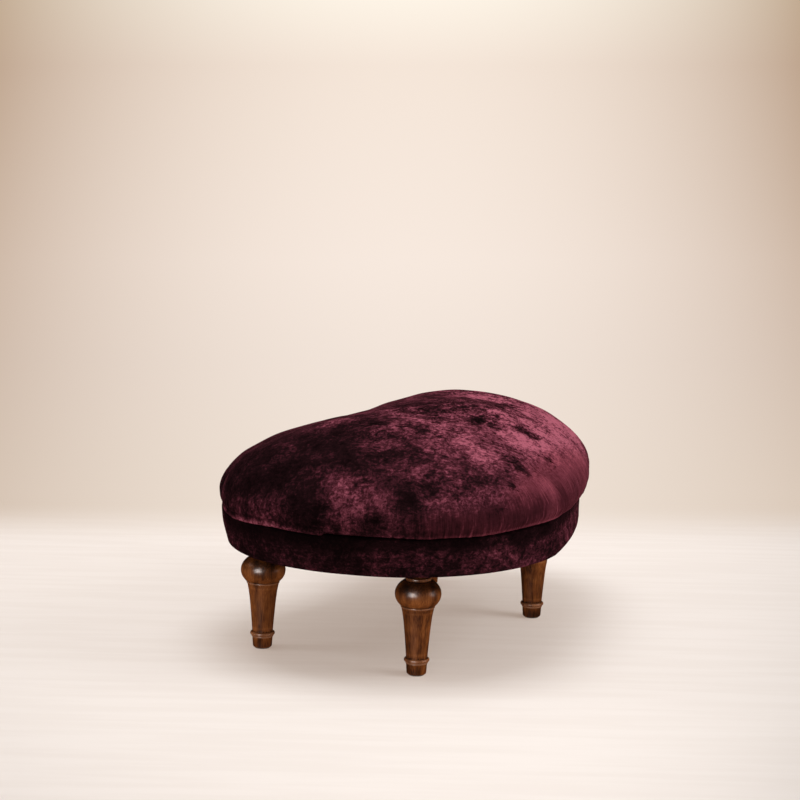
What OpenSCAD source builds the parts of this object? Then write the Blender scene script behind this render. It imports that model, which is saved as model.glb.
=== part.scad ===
// Upholstered kidney footstool: a crowned cushion over a padded band, on four turned legs.
// Millimetres. The origin is on the floor under the middle of the stool, +Z is up,
// +X runs to the small lobe, -Y is the long rounded front and +Y the hollow back.

/* [Plan of the frame] */
// Radius of the frame round the big lobe
big_lobe_r = 210; // [195:1:225]
// Radius of the frame round the small lobe
small_lobe_r = 165; // [150:1:180]
// Distance between the middles of the two lobes
lobe_gap = 265; // [245:1:290]
// Radius of the long rounded front
front_r = 1150; // [950:10:1500]
// Radius of the hollow back
hollow_r = 300; // [260:5:420]

/* [Frame] */
// Height of the base board's underside above the floor
base_z = 140; // [130:1:160]
// Thickness of the base board
base_t = 15; // [12:1:18]
// Height of the spacer blocks between the base board and the top ring
spacer_h = 19; // [16:1:28]
// Length of a spacer block along the rim
spacer_l = 60; // [45:1:70]
// Width of a spacer block across the rim
spacer_w = 40; // [30:1:46]
// Distance from the frame's edge to the middle of a spacer block
spacer_in = 34; // [30:1:40]
// Angle round a lobe from a leg to the spacer block beside it
spacer_turn = 47; // [42:1:50]
// Thickness of the top ring
ring_t = 12; // [9:1:15]
// Width of the top ring
ring_w = 62; // [56:1:70]
// Thickness of the bent skin round the frame
skin_t = 3; // [2:0.5:4]

/* [Cushion] */
// Thickness of the seat board
seat_t = 12; // [9:1:15]
// How far the cushion's bulge stands out past the frame
bulge_out = 16; // [15:0.5:20]
// How far the roll at the foot of the cushion stands out past the frame
roll_out = 12.4; // [11:0.1:13.5]
// Depth of the crease between the cushion and the band
crease_in = 4.4; // [3:0.1:5]
// Height of the bulge above the crease
bulge_h = 16; // [15:0.5:20]
// Rise of the cushion's round shoulder
shoulder_h = 34; // [28:1:42]
// Width over which the shoulder rises
shoulder_w = 75; // [60:1:90]
// Roundness of the shoulder, 2 for a round one and more for a squarer one
shoulder_k = 2.4; // [2:0.1:3]
// Rise of the crown from the shoulder to the middle
crown_h = 62; // [45:1:75]
// Extra share of the crown halfway between the lobes
crown_swell = 0.1; // [0:0.02:0.2]
// Thickness of the wadding over the foam
wadding_t = 9.3; // [7:0.1:11]

/* [Band] */
// How far the band stands out past the frame at its fullest
band_out = 12.5; // [11:0.5:14]
// How far the band stands out past the frame near its lower edge
band_foot_out = 5; // [4:0.5:7]
// Radius of the band's rounded upper edge
band_top_r = 6; // [5:0.5:7]

/* [Cloth] */
// Thickness of the velvet
velvet_t = 1.4; // [1:0.1:1.8]
// Thickness of the black dust cover
dust_t = 0.6; // [0.4:0.1:1]
// Distance from the frame's edge to the velvet's raw edge under the base board
under_lip = 20; // [17:0.5:21]
// Distance from the frame's edge to the velvet's raw edges in the crease
crease_lip = 24; // [20:0.5:30]
// Distance from the frame's edge to the dust cover's turned edge
dust_in = 7; // [5:0.5:9]
// Distance between neighbouring layers of cloth and padding
layer_gap = 0.3; // [0.2:0.05:0.5]

/* [Leg places] */
// Angle of the back left leg round the big lobe
back_left_a = 119; // [110:1:125]
// Distance of the back left leg from the big lobe's edge
back_left_in = 42; // [42:1:55]
// Angle of the front left leg round the big lobe
front_left_a = 213; // [205:1:222]
// Distance of the front left leg from the big lobe's edge
front_left_in = 67; // [50:1:75]
// Angle of the front right leg round the small lobe
front_right_a = 250; // [245:1:253]
// Distance of the front right leg from the small lobe's edge
front_right_in = 31; // [28:1:42]
// Angle of the back right leg round the small lobe
back_right_a = 40; // [32:1:48]
// Distance of the back right leg from the small lobe's edge
back_right_in = 58; // [46:1:62]

/* [Turned leg] */
// Radius of the disc at the top of the leg
top_disc_r = 17.5; // [16:0.5:20]
// Thickness of the disc at the top of the leg
top_disc_t = 5; // [3:0.5:7]
// Radius of the neck under the disc
neck_r = 14; // [12:0.5:15]
// Radius of the ring that sits on the bulb
neck_ring_r = 16.3; // [15.5:0.1:17.5]
// Thickness of the ring that sits on the bulb
neck_ring_t = 4.5; // [3:0.5:6]
// Radius of the bulb
bulb_r = 28.75; // [27:0.25:31]
// Half the height that the whole bulb would have
bulb_half_h = 21.7; // [20:0.1:23]
// Height of the bulb's widest line above the floor
bulb_z = 102.7; // [100:0.1:104]
// Rise of the bulb above its widest line, to where the neck ring cuts it
bulb_up = 16.6; // [15:0.1:17.5]
// Drop of the bulb below its widest line, to the groove
bulb_down = 14.1; // [13:0.1:15.5]
// Width of the groove under the bulb
groove_h = 0.7; // [0.5:0.1:1.2]
// Depth of the groove under the bulb, from the collar's face
groove_in = 0.9; // [0.6:0.1:1.4]
// Radius of the collar under the bulb
collar_r = 21.3; // [21:0.1:22]
// Thickness of the collar under the bulb
collar_t = 2.4; // [2:0.1:3]
// Radius of the shaft just under the collar
shaft_top_r = 20.4; // [19:0.1:20.8]
// Radius of the shaft just above the bead
shaft_foot_r = 13.2; // [12:0.1:13.8]
// Share of the shaft's taper that lies in the flare under the collar
flare = 0.28; // [0.1:0.02:0.5]
// Radius of the bead round the ankle
bead_r = 15.9; // [15:0.1:17]
// Height of the middle of the bead above the floor
bead_z = 19.4; // [18:0.1:22]
// Half the height of the bead
bead_half_h = 2.6; // [2:0.1:3]
// Radius of the step under the bead
step_r = 14; // [13.8:0.1:14.8]
// Height of the step under the bead
step_h = 1.6; // [1:0.1:2]
// Radius of the foot at its top
foot_top_r = 13.3; // [12.8:0.1:13.6]
// Radius of the foot just above its rounded edge
foot_low_r = 12.3; // [11.8:0.1:12.6]
// Radius of the foot's sole
foot_r = 10.8; // [10.5:0.1:11.5]
// Height of the rounded edge round the sole
foot_edge_h = 2.5; // [2:0.5:4]
// Thickness of the felt pad under the foot
pad_t = 1.5; // [1:0.1:2.5]
// Radius of the felt pad under the foot
pad_r = 9.8; // [8:0.1:10.2]

/* [Fasteners] */
// Radius of the hanger bolt
bolt_r = 4; // [3:0.5:5]
// Length of the bolt's wood thread in the leg
bolt_in_leg = 32; // [20:1:40]
// Length of the bolt above the leg's top
bolt_up = 26; // [22:1:30]
// Radius of the tee nut's barrel
tee_barrel_r = 5.5; // [5.3:0.1:6]
// Length of the tee nut's barrel
tee_barrel_l = 10; // [8:0.5:11]
// Radius of the tee nut's flange
tee_flange_r = 11; // [9:0.5:12]
// Thickness of the tee nut's flange
tee_flange_t = 1.6; // [1.2:0.1:2]
// Radius of the long screws that hold the seat down
screw_r = 2.5; // [2:0.1:3]
// Radius of their heads
screw_head_r = 5; // [4:0.1:6]
// Depth to which they run into the seat board
screw_bite = 9; // [6:0.5:10]
// Width of a staple
staple_w = 10; // [8:0.5:12]
// Thickness of staple wire
staple_wire = 0.8; // [0.6:0.1:1]
// Length of a staple's legs
staple_l = 8; // [6:0.5:8]
// Number of staples in each row
staples = 14; // [12:1:20]
// Distance from the velvet's raw edges in the crease to their staples
crease_staple_in = 7; // [5:0.5:9]
// Distance from the edges of the cloth under the stool to their staples
under_staple_in = 4; // [3:0.5:4.5]
// Radial room round bolts, screws and staples in their holes
fit_gap = 0.1; // [0.05:0.05:0.2]

/* [Hidden] */
$fn = 96;
turn = 360;
// How far a cutter runs past the faces that it cuts
over = 1;

// The frame's outline is four arcs that meet smoothly: two lobes, the front and the hollow back.
big_c = [(big_lobe_r - small_lobe_r - lobe_gap) / 2, 0];
small_c = big_c + [lobe_gap, 0];
front_c = meet(front_r - big_lobe_r, front_r - small_lobe_r);
hollow_c = meet(hollow_r + big_lobe_r, hollow_r + small_lobe_r);
front_from = angle(big_c - front_c);
front_to = angle(small_c - front_c);
hollow_from = angle(small_c - hollow_c);
hollow_to = angle(big_c - hollow_c);
small_to = angle(hollow_c - small_c);
big_from = angle(hollow_c - big_c);
big_to = front_from + turn;

// The point at distance a from the big lobe's middle and b from the small one's, on the back side.
function meet(a, b) =
    let (x = (lobe_gap * lobe_gap + a * a - b * b) / (2 * lobe_gap))
    big_c + [x, sqrt(a * a - x * x)];
function angle(v) = atan2(v.y, v.x);
function dir(a) = [cos(a), sin(a)];
function steps(from, to, n) = [for (i = [0:n - 1]) from + (to - from) * i / n];
function shares(n) = [for (i = [0:n]) i / n];

// Soft pieces are rings of points. The angles pass through each lobe's outermost points.
long_n = 5;
small_n = 9;
big_n = 11;
blend_n = 3;
front_as = steps(front_from, front_to, long_n);
small_as = concat(steps(front_to, 0, small_n - 1), steps(0, small_to, small_n));
hollow_as = steps(hollow_from, hollow_to, long_n);
big_as = concat(steps(big_from, 90, blend_n), steps(90, 180, big_n), steps(180, big_to, big_n));
ring_n = len(front_as) + len(small_as) + len(hollow_as) + len(big_as);
hollow_at = long_n + len(small_as);
big_at = hollow_at + long_n;
// A ring of straight sides lies this far inside the arcs that it stands for.
sag = max((small_lobe_r + bulge_out) * (1 - cos(small_to / small_n / 2)),
    (big_lobe_r + bulge_out) * (1 - cos((big_to - 180) / big_n / 2)));
// Room between a true arc and the soft ring round it.
ease = sag + layer_gap;

function outline(d) = concat(
    [for (a = front_as) front_c + (front_r + d) * dir(a)],
    [for (a = small_as) small_c + (small_lobe_r + d) * dir(a)],
    [for (a = hollow_as) hollow_c + (hollow_r - d) * dir(a)],
    [for (a = big_as) big_c + (big_lobe_r + d) * dir(a)]);
// The line that the crown rises to runs between the lobes, midway from front to back.
spine_bow = (front_c.y - front_r + hollow_c.y - hollow_r) / 2;
// Rises smoothly from 0 over the big lobe to 1 halfway and back to 0 over the small lobe.
function midway(t) = pow(sin(180 * t), 2);
function spine_at(t) = [big_c.x + lobe_gap * t, spine_bow * midway(t)];
spine_ts = concat(
    steps(0, 1, long_n), [for (a = small_as) 1], steps(1, 0, long_n), [for (a = big_as) 0]);
spine = [for (t = spine_ts) spine_at(t)];
function level(d, z) = [for (p = outline(d)) [p.x, p.y, z]];

// Heights of the layers, from the base board up.
spacer_z = base_z + base_t;
ring_z = spacer_z + spacer_h;
frame_top = ring_z + ring_t;
crease_z = frame_top + velvet_t;
seat_z = crease_z + velvet_t;
foam_z = seat_z + seat_t;
bulge_z = crease_z + bulge_h;

// A ring of the cushion's top, in_t inside the velvet's face and a share s of the way to the spine.
function crown_ring(in_t, s) =
    let (edge = outline(bulge_out - in_t))
    [for (i = [0:ring_n - 1])
        let (w = norm(edge[i] - spine[i]),
            q = min(1, s * w / (shoulder_w - in_t)),
            round_up = pow(1 - pow(1 - q, shoulder_k), 1 / shoulder_k),
            swell = 1 + crown_swell * midway(spine_ts[i]),
            p = edge[i] * (1 - s) + spine[i] * s)
        [p.x, p.y, bulge_z + (shoulder_h - in_t) * round_up + crown_h * swell * (1 - pow(1 - s, 2))]];
// The rings lie closer together at the edge, and the last of them is close to the spine.
crown_n = 6;
crown_end = 0.93;
function crown_rings(in_t) =
    [for (i = [1:crown_n]) crown_ring(in_t, crown_end * pow(i / crown_n, 2))];
// The cushion's drawn-in side, from the roll up to the bulge.
function side_out(k) = roll_out + (bulge_out - roll_out) * sin(90 * k);
side_n = 2;
function side_rings(in_t, z0) = [for (k = shares(side_n))
    level(side_out(k) - in_t, z0 + (bulge_z - z0) * k)];

// Faces of a strip between ring a and ring b, and of a cap over ring a.
function strip(a, b) = [for (i = [0:ring_n - 1])
    let (j = (i + 1) % ring_n)
    each [[a * ring_n + i, b * ring_n + i, b * ring_n + j],
        [a * ring_n + i, b * ring_n + j, a * ring_n + j]]];
function flip(faces) = [for (f = faces) [f[2], f[1], f[0]]];
function cap(a) =
    let (o = a * ring_n)
    concat(
        [for (i = [0:long_n - 1])
            let (f = o + i, h = o + big_at - i)
            each [[f, h, h - 1], [f, h - 1, f + 1]]],
        [for (k = [1:len(small_as) - 1]) [o + long_n, o + long_n + k + 1, o + long_n + k]],
        [for (k = [0:len(big_as) - 2]) [o, o + big_at + k + 1, o + big_at + k]]);
function joined(rings) = [for (r = rings) each r];

// A closed solid from rings that start under the bottom and end at the top.
module stacked(rings) {
    n = len(rings);
    polyhedron(joined(rings), concat(
        flip(cap(0)), [for (i = [0:n - 2]) each strip(i, i + 1)], cap(n - 1)));
}
// A cloth or wadding bowl, upside down: outer rings from the rim up, then inner rings from the rim up.
module bowl(outer, inner) {
    n = len(outer);
    m = len(inner);
    polyhedron(joined(concat(outer, inner)), concat(
        [for (i = [0:n - 2]) each strip(i, i + 1)], cap(n - 1),
        [for (i = [0:m - 2]) each flip(strip(n + i, n + i + 1))], flip(cap(n + m - 1)),
        flip(strip(0, n))));
}
// A closed hoop whose section is the list of rings.
module hoop(rings) {
    n = len(rings);
    polyhedron(joined(rings), [for (i = [0:n - 1]) each strip(i, (i + 1) % n)]);
}

// The frame's outline grown by d, as true arcs.
module kidney(d = 0) {
    reach = (front_r + d) / cos((front_to - front_from) / 2);
    translate(big_c) circle(big_lobe_r + d);
    translate(small_c) circle(small_lobe_r + d);
    intersection() {
        translate(front_c) circle(front_r + d);
        polygon([big_c, front_c + reach * dir(front_from), front_c + reach * dir(front_to), small_c]);
    }
    difference() {
        polygon([big_c, small_c, hollow_c]);
        translate(hollow_c) circle(hollow_r - d);
    }
}
module plate(d, z, t) {
    translate([0, 0, z]) linear_extrude(t) kidney(d);
}
module ring_plate(outer, inner, z, t) {
    translate([0, 0, z]) linear_extrude(t) difference() {
        kidney(outer);
        kidney(inner);
    }
}

// Places round the rim, at a share of the way along the outline grown by d.
function arc_lens(d) = [
    (front_r + d) * (front_to - front_from),
    (small_lobe_r + d) * (small_to - front_to),
    (hollow_r - d) * (hollow_from - hollow_to),
    (big_lobe_r + d) * (big_to - big_from)] * PI / 180;
function total(v, n) = n == 0 ? 0 : v[n - 1] + total(v, n - 1);
// Each place is a point and the angle that faces straight out of the frame there.
function rim_at(d, share) =
    let (lens = arc_lens(d),
        run = share * total(lens, 4),
        on = run < total(lens, 1) ? 0 : run < total(lens, 2) ? 1 : run < total(lens, 3) ? 2 : 3,
        k = (run - total(lens, on)) / lens[on])
    on == 0 ? arc_at(front_c, front_r + d, front_from + k * (front_to - front_from), 0)
    : on == 1 ? arc_at(small_c, small_lobe_r + d, front_to + k * (small_to - front_to), 0)
    : on == 2 ? arc_at(hollow_c, hollow_r - d, hollow_from + k * (hollow_to - hollow_from), 180)
    : arc_at(big_c, big_lobe_r + d, big_from + k * (big_to - big_from), 0);
function arc_at(c, r, a, turn) = [c + r * dir(a), a + turn];
// Puts its children at each staple's place in a row, with +X facing out of the frame.
module round_rim(d, z, shift = 0) {
    for (i = [0:staples - 1]) {
        place = rim_at(d, (i + 0.5 + shift) / staples);
        translate([place[0].x, place[0].y, z]) rotate(place[1]) children();
    }
}

// A staple whose crown lies flush with the ground at the origin, with its legs pointing down.
module staple() {
    translate([-staple_wire / 2, -staple_w / 2, -staple_wire]) cube([staple_wire, staple_w, staple_wire]);
    for (y = [-staple_w / 2, staple_w / 2 - staple_wire])
        translate([-staple_wire / 2, y, -staple_l]) cube([staple_wire, staple_wire, staple_l]);
}
// The slot that a staple leaves in what it holds.
module staple_slot() {
    w = staple_wire + 2 * fit_gap;
    l = staple_w + 2 * fit_gap;
    translate([-w / 2, -l / 2, -staple_l - fit_gap]) cube([w, l, staple_l + 2 * fit_gap]);
}
// The rows of staples. Where two rows hold two layers, one is shifted by a share of the spacing.
row_shift = 0.25;
module seat_cover_row() {
    round_rim(-crease_lip + crease_staple_in, crease_z) mirror([0, 0, 1]) children();
}
module band_top_row() {
    round_rim(-crease_lip + crease_staple_in, crease_z, row_shift) children();
}
module band_foot_row() {
    round_rim(-under_lip + under_staple_in, base_z - velvet_t) mirror([0, 0, 1]) children();
}
module dust_cover_row() {
    round_rim(-dust_in - under_staple_in, base_z - velvet_t - dust_t, row_shift)
        mirror([0, 0, 1]) children();
}
module skin_rows() {
    for (z = [base_z + base_t / 2, ring_z + ring_t / 2])
        round_rim(0, z, row_shift) rotate([0, 90, 0]) children();
}

// The cushion. Its roll rises a little as it turns out of the crease.
roll_rise = 2;
module seat_cover() {
    color("#3a1122") difference() {
        bowl(
            concat([level(-crease_lip, crease_z), level(roll_out - crease_in, crease_z)],
                side_rings(0, crease_z + roll_rise), crown_rings(0)),
            concat([level(-crease_lip, seat_z), level(roll_out - crease_in - velvet_t / 2, seat_z)],
                side_rings(velvet_t, seat_z + roll_rise), crown_rings(velvet_t)));
        seat_cover_row() staple_slot();
    }
}
wadding_face = velvet_t + layer_gap;
wadding_back = wadding_face + wadding_t;
seat_over = bulge_out - wadding_back - ease;
module seat_wadding() {
    z = seat_z + roll_rise + layer_gap;
    color("#f2efe6") bowl(
        concat(side_rings(wadding_face, z), crown_rings(wadding_face)),
        concat([level(bulge_out - wadding_back, z), level(bulge_out - wadding_back, bulge_z)],
            crown_rings(wadding_back)));
}
module seat_foam() {
    in_t = wadding_back + layer_gap;
    color("#e9dfa8") stacked(
        concat([level(bulge_out - in_t, foam_z), level(bulge_out - in_t, bulge_z)],
            crown_rings(in_t)));
}
module seat_board() {
    color("#c9a878") difference() {
        plate(seat_over, seat_z, seat_t);
        at_spacers() translate([0, 0, seat_z - over])
            cylinder(r = screw_r + fit_gap, h = screw_bite + fit_gap + over);
        seat_cover_row() staple_slot();
    }
}
module seat_cover_staples() {
    color("#b8bcc0") seat_cover_row() staple();
}

// The band. Its section rises in a curve from a small round edge at the foot to a rounder one on top.
band_edge_r = band_foot_out - ease;
band_foot_z = base_z - velvet_t + band_edge_r;
band_rise = crease_z - band_top_r - band_foot_z;
band_n = 3;
function bend(d, z, r, a) = [d + r * cos(a), z + r * sin(a)];
function band_side(in_t) = concat(
    [for (a = [-90, -45, 0])
        bend(band_foot_out - band_edge_r, band_foot_z, band_edge_r - in_t, a)],
    [for (i = [1:band_n - 1]) let (k = i / band_n)
        [band_foot_out + (band_out - band_foot_out) * sin(90 * k) - in_t, band_foot_z + k * band_rise]],
    [for (a = [0, 45, 90]) bend(band_out - band_top_r, crease_z - band_top_r, band_top_r - in_t, a)]);
function levels(pts) = [for (p = pts) level(p[0], p[1])];
module band_cover() {
    outer = concat([[-under_lip, base_z - velvet_t]], band_side(0), [[-crease_lip, crease_z]]);
    inner = concat([[-under_lip, base_z]], band_side(velvet_t), [[-crease_lip, frame_top]]);
    color("#2c0d1a") difference() {
        hoop(levels(concat(outer, [for (i = [len(inner) - 1:-1:0]) inner[i]])));
        band_top_row() staple_slot();
        band_foot_row() staple_slot();
        dust_cover_row() staple_slot();
    }
}
module band_wadding() {
    side = band_side(velvet_t + layer_gap);
    top = side[len(side) - 1];
    color("#f2efe6") hoop(levels(concat(side, [[ease, top[1]]])));
}
module band_skin() {
    color("#8a6a45") difference() {
        ring_plate(0, -skin_t, base_z, frame_top - base_z);
        skin_rows() staple_slot();
    }
}
module band_skin_staples() {
    color("#b8bcc0") skin_rows() staple();
}
module band_cover_staples() {
    color("#b8bcc0") {
        band_top_row() staple();
        band_foot_row() staple();
    }
}

// The frame
board_edge = -skin_t - fit_gap;
module top_ring() {
    color("#c9a878") difference() {
        ring_plate(board_edge, -skin_t - ring_w, ring_z, ring_t);
        at_spacers() translate([0, 0, ring_z - over])
            cylinder(r = screw_r + fit_gap, h = ring_t + 2 * over);
        skin_rows() staple_slot();
        band_top_row() staple_slot();
    }
}
module base_board() {
    color("#c9a878") difference() {
        plate(board_edge, base_z, base_t);
        at_legs() translate([0, 0, base_z - over])
            cylinder(r = tee_barrel_r + fit_gap, h = base_t + 2 * over);
        at_spacers() screw(fit_gap, base_t + over);
        skin_rows() staple_slot();
        band_foot_row() staple_slot();
        dust_cover_row() staple_slot();
    }
}
// Each spacer is a lobe's middle and radius, and an angle round that lobe, clear of the legs there.
spacers = [
    [big_c, big_lobe_r, (back_left_a + front_left_a) / 2],
    [big_c, big_lobe_r, front_left_a + spacer_turn],
    [small_c, small_lobe_r, front_right_a + spacer_turn],
    [small_c, small_lobe_r, back_right_a - spacer_turn],
    [small_c, small_lobe_r, back_right_a + spacer_turn],
    [big_c, big_lobe_r, back_left_a - spacer_turn]];
module at_spacer(i) {
    s = spacers[i];
    translate(s[0] + (s[1] - spacer_in) * dir(s[2])) rotate(s[2]) children();
}
module at_spacers() {
    for (i = [0:len(spacers) - 1]) at_spacer(i) children();
}
module spacer(i) {
    color("#d8bc8c") at_spacer(i) difference() {
        translate([-spacer_w / 2, -spacer_l / 2, spacer_z]) cube([spacer_w, spacer_l, spacer_h]);
        translate([0, 0, spacer_z - over])
            cylinder(r = screw_r + fit_gap, h = spacer_h + 2 * over);
    }
}
module spacer_left() { spacer(0); }
module spacer_front_left() { spacer(1); }
module spacer_front_right() { spacer(2); }
module spacer_right() { spacer(3); }
module spacer_back_right() { spacer(4); }
module spacer_back_left() { spacer(5); }

// A countersunk screw up through the base board, or its hole with room all round and length l.
screw_head_h = screw_head_r - screw_r;
screw_tip_h = 4;
screw_tip_r = 0.5;
module screw(room, l) {
    translate([0, 0, base_z]) rotate_extrude() polygon([
        [0, 0], [screw_head_r + room, 0], [screw_r + room, screw_head_h], [screw_r + room, l], [0, l]]);
}
module seat_screws() {
    l = seat_z + screw_bite - base_z;
    color("#b08d3c") at_spacers() {
        screw(0, l - screw_tip_h);
        translate([0, 0, base_z + l - screw_tip_h])
            cylinder(r1 = screw_r, r2 = screw_tip_r, h = screw_tip_h);
    }
}

// The dust cover lies on the velvet's lip round the edge and steps up to the board inside it.
dust_step = under_lip + sag + layer_gap;
module dust_cover() {
    color("#1d1d1f") difference() {
        union() {
            plate(-dust_step, base_z - dust_t, dust_t);
            ring_plate(-dust_step, -dust_step - dust_t, base_z - velvet_t - dust_t, velvet_t + dust_t);
            ring_plate(-dust_in, -dust_step - dust_t, base_z - velvet_t - dust_t, dust_t);
        }
        at_legs() translate([0, 0, base_z - dust_t - over])
            cylinder(r = tee_barrel_r + fit_gap, h = dust_t + 2 * over);
        dust_cover_row() staple_slot();
    }
}
module dust_cover_staples() {
    color("#b8bcc0") dust_cover_row() staple();
}

// The legs
leg_top = base_z - dust_t;
function leg_place(c, r, a, in) = c + (r - in) * dir(a);
front_left_leg = leg_place(big_c, big_lobe_r, front_left_a, front_left_in);
front_right_leg = leg_place(small_c, small_lobe_r, front_right_a, front_right_in);
back_left_leg = leg_place(big_c, big_lobe_r, back_left_a, back_left_in);
back_right_leg = leg_place(small_c, small_lobe_r, back_right_a, back_right_in);
module at_legs() {
    for (p = [front_left_leg, front_right_leg, back_left_leg, back_right_leg]) translate(p) children();
}
// A bead of radius r bulging from radius r0, half_h either side of height z.
function bead(z, half_h, r, r0) =
    [for (k = shares(8)) let (a = 180 * k - 90) [r0 + (r - r0) * cos(a), z + half_h * sin(a)]];
bulb_foot = bulb_z - bulb_down;
collar_z = bulb_foot - groove_h - collar_t / 2;
shaft_z = bead_z + bead_half_h;
shaft_h = collar_z - collar_t / 2 - shaft_z;
function shaft_r(k) = shaft_foot_r
    + (shaft_top_r - shaft_foot_r) * ((1 - flare) * k + flare * pow(k, 5));
bulb_from = -asin(bulb_down / bulb_half_h);
bulb_till = asin(bulb_up / bulb_half_h);
neck_z = bulb_z + bulb_up;
step_z = bead_z - bead_half_h - step_h;
// Width of the bevels on the neck ring and the top disc.
bevel = 1;
module turned_leg() {
    foot = [for (k = shares(4))
        [foot_r + (foot_low_r - foot_r) * sin(90 * k), pad_t + foot_edge_h * (1 - cos(90 * k))]];
    ankle = [[foot_top_r, step_z], [step_r, step_z], [step_r, step_z + step_h]];
    shaft = [for (k = shares(12)) [shaft_r(k), shaft_z + shaft_h * k]];
    groove = [[collar_r - groove_in, collar_z + collar_t / 2], [collar_r - groove_in, bulb_foot]];
    bulb = [for (k = shares(18)) let (a = bulb_from + (bulb_till - bulb_from) * k)
        [bulb_r * cos(a), bulb_z + bulb_half_h * sin(a)]];
    neck_top = neck_z + neck_ring_t;
    neck_ring = [[neck_ring_r, neck_z], [neck_ring_r, neck_top - bevel],
        [neck_ring_r - bevel, neck_top], [neck_r, neck_top]];
    disc_z = leg_top - top_disc_t;
    cove_h = (disc_z - neck_top) / 2;
    cove = [for (k = shares(6))
        [top_disc_r - (top_disc_r - neck_r) * cos(90 * k), disc_z - cove_h * (1 - sin(90 * k))]];
    disc = [[top_disc_r, leg_top - bevel], [top_disc_r - bevel, leg_top]];
    rotate_extrude() polygon(concat(
        [[0, pad_t]], foot, ankle, bead(bead_z, bead_half_h, bead_r, shaft_foot_r), shaft,
        bead(collar_z, collar_t / 2, collar_r, shaft_top_r), groove, bulb, neck_ring, cove, disc,
        [[0, leg_top]]));
}
module leg(p) {
    color("#4a2814") translate(p) difference() {
        turned_leg();
        translate([0, 0, leg_top - bolt_in_leg - fit_gap])
            cylinder(r = bolt_r + fit_gap, h = bolt_in_leg + 2 * over);
    }
}
module leg_front_left() { leg(front_left_leg); }
module leg_front_right() { leg(front_right_leg); }
module leg_back_left() { leg(back_left_leg); }
module leg_back_right() { leg(back_right_leg); }
// A hanger bolt has a point below and a bevel above.
bolt_tip_r = 1;
bolt_tip_h = 5;
module hanger_bolts() {
    l = bolt_in_leg + bolt_up;
    color("#a9adb2") at_legs() translate([0, 0, leg_top - bolt_in_leg]) rotate_extrude() polygon([
        [0, 0], [bolt_tip_r, 0], [bolt_r, bolt_tip_h], [bolt_r, l - bevel], [bolt_r - bevel, l], [0, l]]);
}
module tee_nuts() {
    color("#a9adb2") at_legs() translate([0, 0, spacer_z]) difference() {
        union() {
            translate([0, 0, -tee_barrel_l]) cylinder(r = tee_barrel_r, h = tee_barrel_l + tee_flange_t);
            cylinder(r = tee_flange_r, h = tee_flange_t);
        }
        translate([0, 0, -tee_barrel_l - over])
            cylinder(r = bolt_r + fit_gap, h = tee_barrel_l + tee_flange_t + 2 * over);
    }
}
module foot_pads() {
    color("#3a2a1e") at_legs() cylinder(r = pad_r, h = pad_t);
}

seat_cover();
seat_wadding();
seat_foam();
seat_board();
seat_cover_staples();
band_cover();
band_wadding();
band_skin();
band_skin_staples();
band_cover_staples();
top_ring();
base_board();
spacer_left();
spacer_front_left();
spacer_front_right();
spacer_right();
spacer_back_right();
spacer_back_left();
seat_screws();
dust_cover();
dust_cover_staples();
leg_front_left();
leg_front_right();
leg_back_left();
leg_back_right();
hanger_bolts();
tee_nuts();
foot_pads();
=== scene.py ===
"""Looks of a kidney footstool: crushed velvet cushion and band, turned legs, and the frame inside.

Metres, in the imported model's own frame: the origin is on the floor under the middle of the stool,
+X runs to the small lobe, -Y is the long rounded front, +Y the hollow back and +Z is up.
"""
import math

import bmesh
import bpy
import numpy as np
from mathutils import Matrix


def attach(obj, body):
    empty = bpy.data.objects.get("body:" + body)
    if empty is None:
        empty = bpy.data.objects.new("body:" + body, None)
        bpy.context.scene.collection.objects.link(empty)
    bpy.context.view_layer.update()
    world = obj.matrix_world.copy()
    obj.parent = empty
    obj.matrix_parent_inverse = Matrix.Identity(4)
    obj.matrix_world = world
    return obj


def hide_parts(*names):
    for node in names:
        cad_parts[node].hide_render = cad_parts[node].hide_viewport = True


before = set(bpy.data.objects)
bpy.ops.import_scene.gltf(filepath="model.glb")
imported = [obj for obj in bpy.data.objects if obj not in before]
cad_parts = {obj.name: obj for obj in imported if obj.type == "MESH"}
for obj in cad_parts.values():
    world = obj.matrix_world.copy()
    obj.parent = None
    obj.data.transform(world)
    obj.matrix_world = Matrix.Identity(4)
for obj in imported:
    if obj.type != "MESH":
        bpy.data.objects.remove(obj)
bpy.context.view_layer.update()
scene = bpy.context.scene
MM = 0.001

# The camera: the photograph's place and angles, found from the stool's outline.
PHOTO_PX = 800
FOCAL_PX = 2044.86
SENSOR = 36.0
CAMERA_AT = (-2.5463, -0.8891, 0.69665)
CAMERA_TURN = math.radians(70.06)
CAMERA_DOWN = 0.1434
CAMERA_ROLL = 0.0215


def unit(v):
    """The vector at length 1, along the last axis."""
    v = np.asarray(v, float)
    return v / np.maximum(np.linalg.norm(v, axis=-1, keepdims=True), 1e-12)


def add(name, data, at=(0, 0, 0), axes=np.eye(3)):
    """A new object of the scene, at a place and with its own three axes turned to these."""
    turn = np.eye(4)
    turn[:3, :3] = np.transpose(axes)
    turn[:3, 3] = at
    made = bpy.data.objects.new(name, data)
    made.matrix_world = Matrix(turn.tolist())
    scene.collection.objects.link(made)
    return made


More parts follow.
